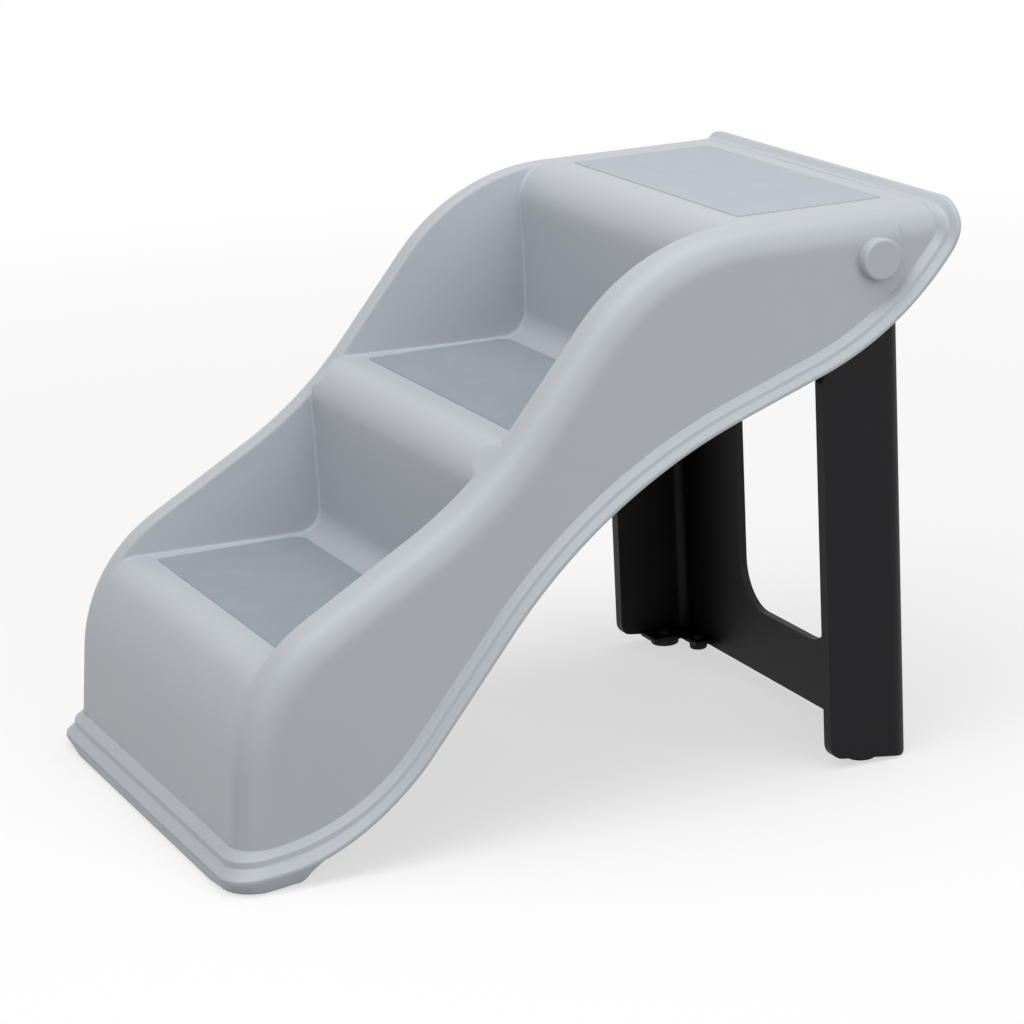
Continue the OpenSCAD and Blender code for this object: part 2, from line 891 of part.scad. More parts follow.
translate([-mid_x, 0, 0]) {
    body_shell();
    tread_mat(0);  // tread_mat_lower
    tread_mat(1);  // tread_mat_middle
    tread_mat(2);  // tread_mat_top
    front_pad(1);  // front_pad_left
    front_pad(-1);  // front_pad_right
    leg_frame();
    pivot_pin(1);  // pivot_pin_left
    pivot_pin(-1);  // pivot_pin_right
    thrust_washer(1);  // thrust_washer_left
    thrust_washer(-1);  // thrust_washer_right
    pivot_bush(1);  // pivot_bush_left
    pivot_bush(-1);  // pivot_bush_right
    retaining_washer(1);  // retaining_washer_left
    retaining_washer(-1);  // retaining_washer_right
    retaining_screw(1);  // retaining_screw_left
    retaining_screw(-1);  // retaining_screw_right
    leg_foot(1);  // leg_foot_left
    leg_foot(-1);  // leg_foot_right
    leg_stud(1);  // leg_stud_left
    leg_stud(-1);  // leg_stud_right
}
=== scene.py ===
import math

import bmesh
import bpy
import numpy as np
from mathutils import Matrix, Vector


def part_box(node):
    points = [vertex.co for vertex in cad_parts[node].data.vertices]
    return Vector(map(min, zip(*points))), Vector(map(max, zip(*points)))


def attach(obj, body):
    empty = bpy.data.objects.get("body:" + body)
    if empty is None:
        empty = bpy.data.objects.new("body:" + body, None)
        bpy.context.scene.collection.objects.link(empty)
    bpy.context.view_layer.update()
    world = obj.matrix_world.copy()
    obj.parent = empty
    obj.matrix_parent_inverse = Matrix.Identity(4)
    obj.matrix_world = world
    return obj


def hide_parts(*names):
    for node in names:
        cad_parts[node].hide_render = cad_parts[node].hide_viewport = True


bl_info = {
    "name": "Folding Pet Stairs",
    "version": (1, 0, 0),
    "blender": (4, 5, 0),
    "location": "View3D > Sidebar > Pet Stairs",
    "description": "Dresses the packed pet stairs with their moulded shell, mats, leg and stage",
    "category": "Add Mesh",
}

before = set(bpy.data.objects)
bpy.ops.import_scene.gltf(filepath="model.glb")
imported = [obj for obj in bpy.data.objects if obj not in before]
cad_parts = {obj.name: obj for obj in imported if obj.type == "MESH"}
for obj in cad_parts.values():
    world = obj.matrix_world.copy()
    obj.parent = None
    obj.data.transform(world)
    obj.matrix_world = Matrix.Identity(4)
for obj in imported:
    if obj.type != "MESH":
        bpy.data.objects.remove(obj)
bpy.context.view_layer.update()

MM = 0.001
SHELL = "body_shell"
LEG = "leg_frame"
MATS = ("tread_mat_lower", "tread_mat_middle", "tread_mat_top")
SIDES = {"left": 1, "right": -1}

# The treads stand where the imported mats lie. x runs from the low front end to the high back end
MAT_PROUD = 0.5 * MM
mat_boxes = [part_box(name) for name in MATS]
tread_front = [low.x for low, high in mat_boxes]
tread_z = [high.z - MAT_PROUD for low, high in mat_boxes]
RUN = tread_front[1] - tread_front[0]
RISE = tread_z[1] - tread_z[0]
shell_low, shell_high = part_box(SHELL)
FRONT_X, BACK_X, LIP_HALF = shell_low.x, shell_high.x, shell_high.y
TOP_Z = tread_z[-1]

# Shares of a run and a rise at which the rim's and the lower edge's straight runs would meet.
# A bend share is the part of the shorter run beside a bend that the bend takes up
RIM_KNEE_SHARE = (0.756, 0.765)
RIM_CROWN_SHARE = 1.512
RIM_FRONT_SHARE = 0.973
RIM_BEND_SHARES = (0.516, 0.26)
BELLY_TOE_SHARE = 0.205
BELLY_KNEE_SHARE = (1.223, 0.708)
BELLY_HEEL_SHARE = (2.52, 1.336)
BELLY_BEND_SHARES = (0.656, 0.466, 0.76, 0.63)
# Direction in which the lowest nose leaves the rim's first bend
NOSE_TURN = math.radians(58)
# Height above the flange's lower edge at which the rim's line starts
RIM_START = 8 * MM


def size(text, millimetres, note):
    """A length's setting, given in millimetres."""
    return bpy.props.FloatProperty(
        name=text, description=note, default=millimetres * MM, unit="LENGTH", precision=4
    )


def colour(text, value, note):
    return bpy.props.FloatVectorProperty(
        name=text, description=note, default=value, size=3, min=0, max=1, subtype="COLOR"
    )


class ShellSizes(bpy.types.PropertyGroup):
    tread_width: size("Tread width", 300, "Clear width between the side walls")
    side_width: size("Side wall width", 46, "Width of each hollow side wall")
    skin: size("Skin", 3, "Thickness of the moulded skin")
    foot_radius: size("Foot radius", 3.5, "Radius of the hollow between a tread and a side wall")
    inner_round: size("Inner round", 4, "Radius of the rim's edge on the tread side")
    wall_lean: size("Wall lean", 13, "How far a side wall's inner face stands back at the rim")
    lean_depth: size("Lean depth", 95, "Depth below the rim at which the inner face is upright")
    riser_lean: size("Riser lean", 4, "How far a riser leans back over its height")
    outer_round: size("Outer round", 23, "Radius of the rim over the outer side")
    nose_radius: size("Nose radius", 32, "Radius of the two upper tread noses")
    base_radius: size("Base radius", 20, "Radius of the hollow at the base of a riser")
    nose_depth: size("Nose depth", 45, "Distance from a mat's front edge back to its riser")
    front_lean: size("Front lean", 15, "How far the front face leans back over the first rise")
    front_setback: size("Front setback", 10.3, "Distance from the flange's edge to the front face")
    nose_blend: size("Nose blend", 30, "Width over which a nose sinks to the rim's level")
    nose_poke: size("Nose poke", 6, "Height above the rim that takes the whole blend width")
    station_step: size("Station step", 2.6, "Spacing of the shell's rows along the rim")


class FlangeSizes(bpy.types.PropertyGroup):
    flange_height: size("Flange height", 14, "Height of the flange's lower edge at the front")
    belly_rise: size("Belly rise", 10, "Rise of the lower edge behind the front")
    heel_drop: size("Heel drop", 23, "Depth of the lower edge's last bend below the platform")
    ledge_width: size("Ledge width", 6, "Width of the upper ledge")
    lip_width: size("Lip width", 7, "Width of the lower ledge outside the upper one")
    ledge_corner: size("Ledge corner", 25, "Corner radius of the upper ledge at the front")
    lip_corner: size("Lip corner", 27, "Corner radius of the lower ledge at the front")
    lip_thickness: size("Lip thickness", 3.5, "Thickness of the lower ledge at its edge")
    lip_rise: size("Lip rise", 2, "How far the lower ledge slopes up to the upper one")
    front_droop: size("Front droop", 5.6, "How far the lower ledge's edge hangs down round the front")
    ledge_height: size("Ledge height", 9, "Height of the upper ledge's outer edge")
    crease_height: size("Crease height", 13.2, "Height at which the upper ledge meets the wall")
    droop_start: size("Droop start", 45, "Distance behind the front at which the droop starts to fade")
    droop_end: size("Droop end", 150, "Distance behind the front at which the droop is gone")
    back_lip_height: size("Back lip height", 3.5, "Height of the lip across the platform's back")
    back_lip_width: size("Back lip width", 5, "Width of the lip across the platform's back")
    back_lip_slope: size("Back lip slope", 5, "Width of the back lip's sloping front")
    edge_round: size("Edge round", 0.8, "Radius of the flange's moulded edges")
    skirt_front_inset: size("Skirt front inset", 1.5, "Draft of the skirt's foot at the front")
    skirt_side_inset: size("Skirt side inset", 7, "Draft of the skirt's foot at the sides")
    skirt_gap: size("Skirt gap", 0.8, "Height of the skirt's lower edge above the floor")
    skirt_toe: size("Skirt toe", 35, "Distance behind the front at which the foot starts to lift")
    skirt_corner: size("Skirt corner", 54, "Distance behind the front at which the foot turns up")
    skirt_end: size("Skirt end", 77, "Distance behind the front at which the skirt ends")
    skirt_lift: size("Skirt lift", 1.6, "How far the foot's lower edge lifts up to its corner")


class Finishes(bpy.types.PropertyGroup):
    shell: colour("Shell", (0.435, 0.462, 0.495), "Light grey moulded plastic")
    mat_lower: colour("Lower mats", (0.28, 0.316, 0.345), "Grey tread mats")
    mat_top: colour("Top mat", (0.41, 0.445, 0.475), "Light grey tread mat")
    leg: colour("Leg", (0.003, 0.0032, 0.0045), "Black moulded plastic")
    rubber: colour("Rubber", (0.012, 0.012, 0.012), "Black rubber")
    bush: colour("Bush", (0.70, 0.70, 0.66), "White bearing plastic")
    steel: colour("Steel", (0.52, 0.53, 0.55), "Zinc plated steel")


class StageSettings(bpy.types.PropertyGroup):
    azimuth: bpy.props.FloatProperty(
        name="Azimuth", description="Camera's turn about the stairs",
        default=math.radians(-23.356), subtype="ANGLE")
    elevation: bpy.props.FloatProperty(
        name="Elevation", description="Camera's height angle",
        default=math.radians(15.5785), subtype="ANGLE")
    roll: bpy.props.FloatProperty(
        name="Roll", description="Camera's roll", default=math.radians(-2.8345), subtype="ANGLE")
    lens: bpy.props.FloatProperty(
        name="Lens", description="Focal length in millimetres on a 36 mm sensor", default=125.932)
    across: size("Across", 224.7, "Sideways place of the view's centre")
    above: size("Above", 70.92, "Place of the view's centre up the view")
    distance: size("Distance", 2735.25, "Distance of the camera from the lowest mat's front edge")
    floor_radius: size("Floor radius", 6000, "Half the floor's width")
    fade_start: size("Fade start", 700, "Distance at which the floor starts to turn white")
    fade_end: size("Fade end", 2400, "Distance at which the floor is white")


# Paths in side view

# Share of a run by which a ray may cross past its ends
CROSSING_SLACK = 1e-6
# Depth that counts as level with the rim
LEVEL_WITHIN = 0.02 * MM
# Least number of steps round an arc
LEAST_ARC_STEPS = 2


def bends(points, shares):
    """Corners (x, z, radius) whose bends take up their shares of the shorter run beside them."""
    points = [np.array(p, float) for p in points]
    corners = [(*points[0], 0.0)]
    for before, at, after, share in zip(points, points[1:], points[2:], shares, strict=False):
        short = min(np.linalg.norm(at - before), np.linalg.norm(after - at))
        turn = heading(at, after) - heading(before, at)
        corners.append((*at, share * short / math.tan(abs(turn) / 2)))
    return corners + [(*points[-1], 0.0)]


def heading(a, b):
    """Angle of the line from a to b."""
    return math.atan2(b[1] - a[1], b[0] - a[0])


def unit(angle):
    return np.array([math.cos(angle), math.sin(angle)])


def smooth(t):
    """Eases from 0 to 1."""
    t = np.clip(t, 0, 1)
    return t * t * (3 - 2 * t)


class Path:
    """Straight runs joined by arcs, as evenly spaced points with headings."""

    def __init__(self, corners, step):
        corners = [(np.array(c[:2]), c[2]) for c in corners]
        points, headings = [], []

        def run_to(a, b, angle):
            n = max(1, math.ceil(np.linalg.norm(b - a) / step))
            for k in range(n):
                points.append(a + (b - a) * k / n)
                headings.append(angle)

        at = corners[0][0]
        triples = zip(corners, corners[1:], corners[2:], strict=False)
        for (before, _), (corner, radius), (after, _) in triples:
            a, b = heading(before, corner), heading(corner, after)
            reach = radius * math.tan(abs(b - a) / 2)
            start = corner - reach * unit(a)
            run_to(at, start, a)
            side = math.copysign(1, b - a)
            centre = start + radius * unit(a + side * math.pi / 2)
            n = max(LEAST_ARC_STEPS, math.ceil(radius * abs(b - a) / step))
            for k in range(n):
                angle = a + (b - a) * k / n
                points.append(centre - radius * unit(angle + side * math.pi / 2))
                headings.append(angle)
            at = corner + reach * unit(b)
        end = corners[-1][0]
        angle = heading(corners[-2][0], end)
        run_to(at, end, angle)
        points.append(end)
        headings.append(angle)
        self.points = np.array(points)
        self.headings = np.array(headings)

    def right(self):
        """Unit vectors to the right of the path, into the solid."""
        return np.stack([np.sin(self.headings), -np.cos(self.headings)], 1)


def front_at(sizes, z):
    """Point of the leaning front face at height z."""
    top = FRONT_X + sizes.front_setback + sizes.front_lean
    return np.array([top - sizes.front_lean * (tread_z[0] - z) / tread_z[0], z])


def rim_corners(sizes, bottom):
    """The side walls' rim, from the front to the back."""
    crown_x = tread_front[0] + RIM_CROWN_SHARE * RUN
    level_x = tread_front[-1] - sizes.nose_depth + sizes.nose_radius
    knee = (tread_front[0] + RIM_KNEE_SHARE[0] * RUN, tread_z[0] + RIM_KNEE_SHARE[1] * RISE)
    short = min(math.dist(knee, (crown_x, TOP_Z)), BACK_X - crown_x)
    return bends(
        [
            front_at(sizes, bottom),
            front_at(sizes, RIM_FRONT_SHARE * tread_z[0]),
            knee,
            (crown_x, TOP_Z),
            (BACK_X, TOP_Z),
        ],
        [*RIM_BEND_SHARES, (level_x - crown_x) / short],
    )


def stair_corners(sizes, bottom):
    """The treads and risers, whose lowest nose leaves the rim's first bend at NOSE_TURN."""
    rim = rim_corners(sizes, bottom)
    start, knuckle, radius = np.array(rim[0][:2]), np.array(rim[1][:2]), rim[1][2]
    front, slope = heading(rim[0], rim[1]), heading(rim[1], rim[2])
    reach = radius * math.tan((front - slope) / 2)
    nose_reach = radius * math.tan((front - NOSE_TURN) / 2)
    leave = knuckle + (nose_reach - reach) * unit(front)
    run = (tread_z[0] - leave[1]) / math.sin(NOSE_TURN)
    top = leave + run * unit(NOSE_TURN)
    corners = [(*start, 0.0), (*leave, radius), (*top, (run - nose_reach) / math.tan(NOSE_TURN / 2))]
    for front_x, low, high in zip(tread_front[1:], tread_z, tread_z[1:], strict=False):
        riser = front_x - sizes.nose_depth
        lean = sizes.riser_lean / 2
        corners += [(riser - lean, low, sizes.base_radius), (riser + lean, high, sizes.nose_radius)]
    return corners + [(BACK_X, TOP_Z, 0.0)]


def belly_path(flange, step):
    """The shell's lower edge, from the front round the heel up to the back lip."""
    return Path(
        bends(
            [
                (FRONT_X, flange.flange_height),
                (tread_front[0] + BELLY_TOE_SHARE * RUN, flange.flange_height + flange.belly_rise),
                (tread_front[0] + BELLY_KNEE_SHARE[0] * RUN, tread_z[0] + BELLY_KNEE_SHARE[1] * RISE),
                (tread_front[0] + BELLY_HEEL_SHARE[0] * RUN, tread_z[0] + BELLY_HEEL_SHARE[1] * RISE),
                (BACK_X, TOP_Z - flange.heel_drop),
                (BACK_X, TOP_Z + flange.back_lip_height),
            ],
            BELLY_BEND_SHARES,
        ),
        step,
    )


def cross(a, b):
    return a[..., 0] * b[..., 1] - a[..., 1] * b[..., 0]


def depths(origins, directions, line):
    """How far each ray goes to the line of points, at its crossing nearest to the start."""
    a, b = line[:-1][None], line[1:][None]
    o, d = origins[:, None], directions[:, None]
    run = b - a
    with np.errstate(divide="ignore", invalid="ignore"):
        along = cross(a - o, run) / cross(d, run)
        part = cross(a - o, d) / cross(d, run)
    good = (part >= -CROSSING_SLACK) & (part <= 1 + CROSSING_SLACK) & np.isfinite(along)
    along = np.where(good, along, np.inf)
    pick = np.argmin(np.abs(along), axis=1)
    found = along[np.arange(len(along)), pick]
    return np.where(np.abs(found) < LEVEL_WITHIN, 0, found)


# Mesh helpers

# Angles in degrees over which an edge stays sharp
SHELL_SHARP = 40
BAND_SHARP = 50
DETAIL_SHARP = 40
NODE_SHARP = 30
# Distances within which points become one
SHELL_WELD = 0.03 * MM
BAND_WELD = 0.005 * MM
MARK_WELD = 0.01 * MM


def shade(mesh, sharp):
    """Shades a mesh smooth and keeps its edges over `sharp` degrees."""
    mesh.shade_smooth()
    mesh.set_sharp_from_angle(angle=math.radians(sharp))


def new_object(name, verts, faces, sharp=None):
    """A linked object, flat shaded unless `sharp` is given."""
    mesh = bpy.data.meshes.new(name)
    mesh.from_pydata([tuple(v) for v in verts], [], [tuple(f) for f in faces])
    mesh.validate()
    if sharp is None:
        mesh.shade_flat()
    else:
        shade(mesh, sharp)
    item = bpy.data.objects.new(name, mesh)
    bpy.context.scene.collection.objects.link(item)
    return item


def grid_faces(rows, cols, close_rows=False, close_cols=False):
    """Faces between the points of a grid, which may close on itself either way."""
    faces = []
    for i in range(rows if close_rows else rows - 1):
        for k in range(cols if close_cols else cols - 1):
            j, m = (i + 1) % rows, (k + 1) % cols
            faces.append((i * cols + k, i * cols + m, j * cols + m, j * cols + k))
    return faces


def tube_faces(rows, cols):
    """Faces of a closed tube of rows, with one face over each end."""
    count = rows * cols
    ends = [tuple(range(cols)), tuple(range(count - cols, count))]
    return grid_faces(rows, cols, close_cols=True) + ends


def settled(item, sharp):
    """Applies an object's modifiers and marks its edges over `sharp` degrees."""
    evaluated = item.evaluated_get(bpy.context.evaluated_depsgraph_get())
    mesh = bpy.data.meshes.new_from_object(evaluated)
    item.modifiers.clear()
    item.data = mesh
    shade(mesh, sharp)
    return item


def merge(item, distance):
    """Welds points that lie within a distance and turns all the faces outwards."""
    edit = bmesh.new()
    edit.from_mesh(item.data)
    bmesh.ops.remove_doubles(edit, verts=edit.verts, dist=distance)
    bmesh.ops.dissolve_degenerate(edit, edges=edit.edges, dist=distance / 2)
    bmesh.ops.recalc_face_normals(edit, faces=edit.faces)
    edit.to_mesh(item.data)
    edit.free()


def joined(name, parts, sharp=None):
    """One object made of parts, each given as its vertices and faces."""
    verts, faces = [], []
    for some_verts, some_faces in parts:
        start = len(verts)
        verts += some_verts
        faces += [tuple(start + i for i in f) for f in some_faces]
    return new_object(name, verts, faces, sharp)


# Shell

# Points across each part of half a cross-section, from the middle outwards
FLAT_COLUMNS = 9
FOOT_COLUMNS = 6
WALL_COLUMNS = 7
INNER_COLUMNS = 7
INSIDE_COLUMNS = FOOT_COLUMNS + WALL_COLUMNS - 1 + INNER_COLUMNS
OUTER_COLUMNS = 12
# Power with which the inner face's lean grows towards the rim
WALL_CURVE = 1.5
# Height of the flat strip under the outer round
SIDE_STRIP = 3 * MM
# Points of the stairs' line for each one of the rim's
STAIR_FINENESS = 6
# The sheet ends inside the flange at the back, by its skin divided by this
BACK_SKIN_PARTS = 3


def arc(centre, radius, start, end, columns):
    """Points (y, depth) of an arc whose angles are measured from straight up."""
    return [
        np.array([centre + radius * math.sin(a), radius - radius * math.cos(a)])
        for a in np.linspace(start, end, columns)
    ]


def inner_face(sizes, depth):
    """y of a side wall's inner face at a depth under the rim."""
    up = max(0, 1 - depth / sizes.lean_depth)
    return sizes.tread_width / 2 + sizes.wall_lean * up**WALL_CURVE


def half_section(sizes, depth):
    """Half the shell's cross-section where the stairs lie `depth` under the rim, as (y, depth)
    points from the middle out over the rounded rim to the flat of the outer side."""
    r, f = sizes.inner_round, sizes.foot_radius
    crown = inner_face(sizes, r) + r
    shoulder = sizes.tread_width / 2 + sizes.side_width - sizes.outer_round
    if depth >= 0:
        sunk = min(depth, r + f)
        turn = math.acos(1 - sunk / (r + f))
        reach = math.sqrt(sunk * (2 * (r + f) - sunk))
        lean = inner_face(sizes, r) - inner_face(sizes, max(r, depth - f))
        centre = np.array([crown - reach - lean, depth - f])
        foot = [
            centre + f * np.array([math.sin(a), math.cos(a)])
            for a in np.linspace(0, turn, FOOT_COLUMNS)
        ]
        over = arc(crown, r, -turn, 0, INNER_COLUMNS)
        heights = np.linspace(foot[-1][1], over[0][1], WALL_COLUMNS + 1)[1:-1]
        if depth > r + f:
            wall = [np.array([inner_face(sizes, h), h]) for h in heights]
        else:
            wall = [over[0]] * len(heights)
        inside = foot + wall + over
    else:
        width = sizes.nose_blend * math.sqrt(min(1, -depth / sizes.nose_poke))
        inside = [
            np.array([shoulder - width * (1 - t), depth * (1 - smooth(t))])
            for t in np.linspace(0, 1, INSIDE_COLUMNS)
        ]
    flat = [np.array([inside[0][0] * k / FLAT_COLUMNS, depth]) for k in range(FLAT_COLUMNS)]
    outside = arc(shoulder, sizes.outer_round, 0, math.pi / 2, OUTER_COLUMNS)
    return np.array(flat + inside + outside + [outside[-1] + np.array([0, SIDE_STRIP])])


def build_shell(sizes, flange):
    """The moulded sheet: one row of cross-section points for each point of the rim's line."""
    bottom = flange.flange_height + RIM_START
    rim = Path(rim_corners(sizes, bottom), sizes.station_step)
    stair = Path(stair_corners(sizes, bottom), sizes.station_step / STAIR_FINENESS)
    inward = rim.right()
    depth = depths(rim.points, inward, stair.points)
    belly = belly_path(flange, sizes.station_step)
    heel = belly.points[belly.points[:, 0] > tread_front[-1]]
    rows = []
    for point, into, d in zip(rim.points, inward, depth, strict=True):
        half = half_section(sizes, d)
        xz = point + half[:, 1:] * into
        if point[0] > tread_front[-1]:
            limit = np.interp(xz[:, 1], heel[:, 1], heel[:, 0]) - sizes.skin / BACK_SKIN_PARTS
            xz[:, 0] = np.minimum(xz[:, 0], limit)
        right = np.column_stack([xz[:, 0], -half[:, 0], xz[:, 1]])[::-1]
        left = np.column_stack([xz[:, 0], half[:, 0], xz[:, 1]])
        rows.append(np.concatenate([right, left[1:]]))
    rows = np.array(rows)
    count, cols = rows.shape[:2]
    verts = rows.reshape(-1, 3)
    faces = grid_faces(count, cols)
    # One face fills each outer side, from the rim down to the lower edge
    x, z = belly.points.T
    keep = belly.points[(x > rows[0, -1, 0]) & (z < rows[-1, -1, 2])]
    side = LIP_HALF - flange.ledge_width - flange.lip_width
    for sign, column in ((1, cols - 1), (-1, 0)):
        edge = rows[:, column]
        low = np.column_stack([keep[:, 0], np.full(len(keep), sign * side), keep[:, 1]])
        loop = np.concatenate([edge, low[::-1]])
        faces.append(tuple(range(len(verts), len(verts) + len(loop))))
        verts = np.concatenate([verts, loop])
    shell = new_object("moulded_shell", verts, faces)
    merge(shell, SHELL_WELD)
    solid = shell.modifiers.new("skin", "SOLIDIFY")
    solid.thickness = sizes.skin
    solid.offset = -1
    return settled(shell, SHELL_SHARP)


# Flange round the shell's lower edge

# Rows across half the front, round each corner, and across half the back
FRONT_ROWS = 12
CORNER_ROWS = 22
BACK_ROWS = 14
# How much wider the lip's round is than the wall's at the back
BACK_ROUND_EXTRA = 5 * MM
# How far the ledge ends inside the wall at the back
BACK_LEDGE_TUCK = 1 * MM
# How far the flange reaches inside the wall, how far outside the wall its slope ends, and how
# far it climbs from there to its inner edge
WALL_TUCK = 3 * MM
CREASE_PROUD = 0.5 * MM
CREASE_RISE = 1.5 * MM
# A round that ends on a slope climbs there by its radius divided by this
SLOPE_PARTS = 3
# The upper ledge's top lifts round the front by the lower ledge's droop divided by this
DROOP_LIFT_PARTS = 3
# Share of a round's radius that its middle stands back from both faces
ROUND_MIDDLE = 1 - math.sqrt(0.5)
# How far the skirt's inner face stands inside the wall
SKIRT_TUCK = 2 * MM
# Points of the round at the skirt's foot, inwards and upwards in shares of its radius, which is
# at most the skirt's height divided by the number below
SKIRT_ROUND = ((-0.3, 1), (0.1, 0.3), (1, 0))
SKIRT_ROUND_PARTS = 3


def square_to(angle):
    """Unit vector square to a heading in side view, upwards."""
    return np.array([-math.sin(angle), 0, math.cos(angle)])


def flange_half(sizes, flange, step):
    """Rails of the flange for y >= 0, from the middle of the front to the middle of the back:
    the wall, the upper ledge and the lip, with the up vectors and the lip's thickness."""
    r = sizes.side_width / 2
    middle = sizes.tread_width / 2 + r
    ledge_r, lip_r = r + flange.ledge_width, r + flange.ledge_width + flange.lip_width
    wall_front = front_at(sizes, flange.flange_height)[0]
    ledge_front = FRONT_X + flange.lip_width
    belly = belly_path(flange, step)
    bx, bz = belly.points[:, 0], belly.points[:, 1]
    slope = belly.headings[0]
    wall, ledge, lip, up, thick = [], [], [], [], []

    def add(w, a, b, u, t):
        wall.append(w)
        ledge.append(a)
        lip.append(b)
        up.append(u)
        thick.append(t)

    def plan(front, reach, radius, angle, y=None):
        """Point of a rail at an angle round its front corner, or at y along its front."""
        x = front + radius - radius * math.sin(angle)
        if y is None:
            y = middle + reach - radius + radius * math.cos(angle)
        return np.array([x, y, flange.flange_height + (x - FRONT_X) * math.tan(slope)])

    fronts = (
        (wall_front, r, r),
        (ledge_front, ledge_r, flange.ledge_corner),
        (FRONT_X, lip_r, flange.lip_corner),
    )
    for y in np.linspace(0, middle, FRONT_ROWS)[:-1]:
        points = [plan(*rail, math.pi / 2, y) for rail in fronts]
        add(*points, square_to(slope), flange.lip_thickness)
    for angle in np.linspace(math.pi / 2, 0, CORNER_ROWS)[:-1]:
        points = [plan(*rail, angle) for rail in fronts]
        add(*points, square_to(slope), flange.lip_thickness)
    start_x = wall_front + r
    corner_z = TOP_Z - r
    ledge_out = np.array([0, flange.ledge_width, 0])
    lip_out = np.array([0, flange.ledge_width + flange.lip_width, 0])
    for (x, z), angle in zip(belly.points, belly.headings, strict=True):
        if x <= start_x + step or z >= corner_z - step / 2:
            continue
        w = np.array([x, middle + r, z])
        add(w, w + ledge_out, w + lip_out, square_to(angle), flange.lip_thickness)
    back_r = r + BACK_ROUND_EXTRA
    lip_centre = np.array([LIP_HALF - back_r, TOP_Z + flange.back_lip_height - back_r])
    for angle in np.linspace(0, math.pi / 2, CORNER_ROWS):
        part = angle / (math.pi / 2)
        turned = np.array([math.cos(angle), math.sin(angle)])
        at_wall = np.array([middle, TOP_Z - r]) + r * turned
        reach = flange.ledge_width * (1 - part) - BACK_LEDGE_TUCK * part
        rails = (at_wall, at_wall + reach * turned, lip_centre + back_r * turned)
        points = [np.array([np.interp(z, bz, bx), y, z]) for y, z in rails]
        tilt = np.interp(at_wall[1], bz, belly.headings)
        growth = (flange.back_lip_width - flange.lip_thickness) * part
        add(*points, square_to(tilt), flange.lip_thickness + growth)
    last = [wall[-1], ledge[-1], lip[-1]]
    for y in np.linspace(1, 0, BACK_ROWS)[1:]:
        add(*[p * np.array([1, y, 1]) for p in last], up[-1], thick[-1])
    return [np.array(v) for v in (wall, ledge, lip, up, thick)]


def mirrored(rails):
    """Joins the rails of one half with their mirror images into closed loops."""
    out = []
    for rail in rails:
        back = rail[1:-1][::-1].copy()
        if rail.ndim == 2:
            back[:, 1] *= -1
        out.append(np.concatenate([rail, back]))
    return out


def front_part(flange, points):
    """1 round the front, and 0 from where the lower ledge no longer droops."""
    behind = points[:, 0] - FRONT_X
    return 1 - smooth((behind - flange.droop_start) / (flange.droop_end - flange.droop_start))


def build_flange(sizes, flange):
    """The two ledges and the back lip, as one ring round the shell."""
    wall, ledge, lip, up, thick = mirrored(flange_half(sizes, flange, sizes.station_step))
    out = lip - wall
    out /= np.linalg.norm(out, axis=1)[:, None]
    e = flange.edge_round
    q = e * ROUND_MIDDLE
    t = thick[:, None]
    droop = flange.front_droop * front_part(flange, lip)[:, None]
    back = (t - flange.lip_thickness) / (flange.back_lip_width - flange.lip_thickness)
    rise = flange.lip_rise * (1 - droop / flange.front_droop)
    foot = t + rise + (flange.back_lip_slope - flange.lip_rise) * back
    high = foot + flange.ledge_height - flange.lip_thickness - flange.lip_rise
    high = high + droop / DROOP_LIFT_PARTS
    crease = high + flange.crease_height - flange.ledge_height
    profile = [
        (wall, -WALL_TUCK, 0),
        (lip, -e, -droop),
        (lip, -q, q - droop),
        (lip, 0, e - droop),
        (lip, 0, t - e - droop),
        (lip, -q, t - q - droop),
        (lip, -e, t - droop + e / SLOPE_PARTS),
        (ledge, e, foot - e / SLOPE_PARTS),
        (ledge, q, foot + q),
        (ledge, 0, foot + e),
        (ledge, 0, high - e),
        (ledge, -q, high - q / SLOPE_PARTS),
        (ledge, -e, high + e / SLOPE_PARTS),
        (wall, CREASE_PROUD, crease),
        (wall, -WALL_TUCK, crease + CREASE_RISE),
    ]
    rows = np.stack([rail + side * out + height * up for rail, side, height in profile], 1)
    faces = grid_faces(*rows.shape[:2], close_rows=True, close_cols=True)
    ring = new_object("flange", rows.reshape(-1, 3), faces, BAND_SHARP)
    merge(ring, BAND_WELD)
    return ring


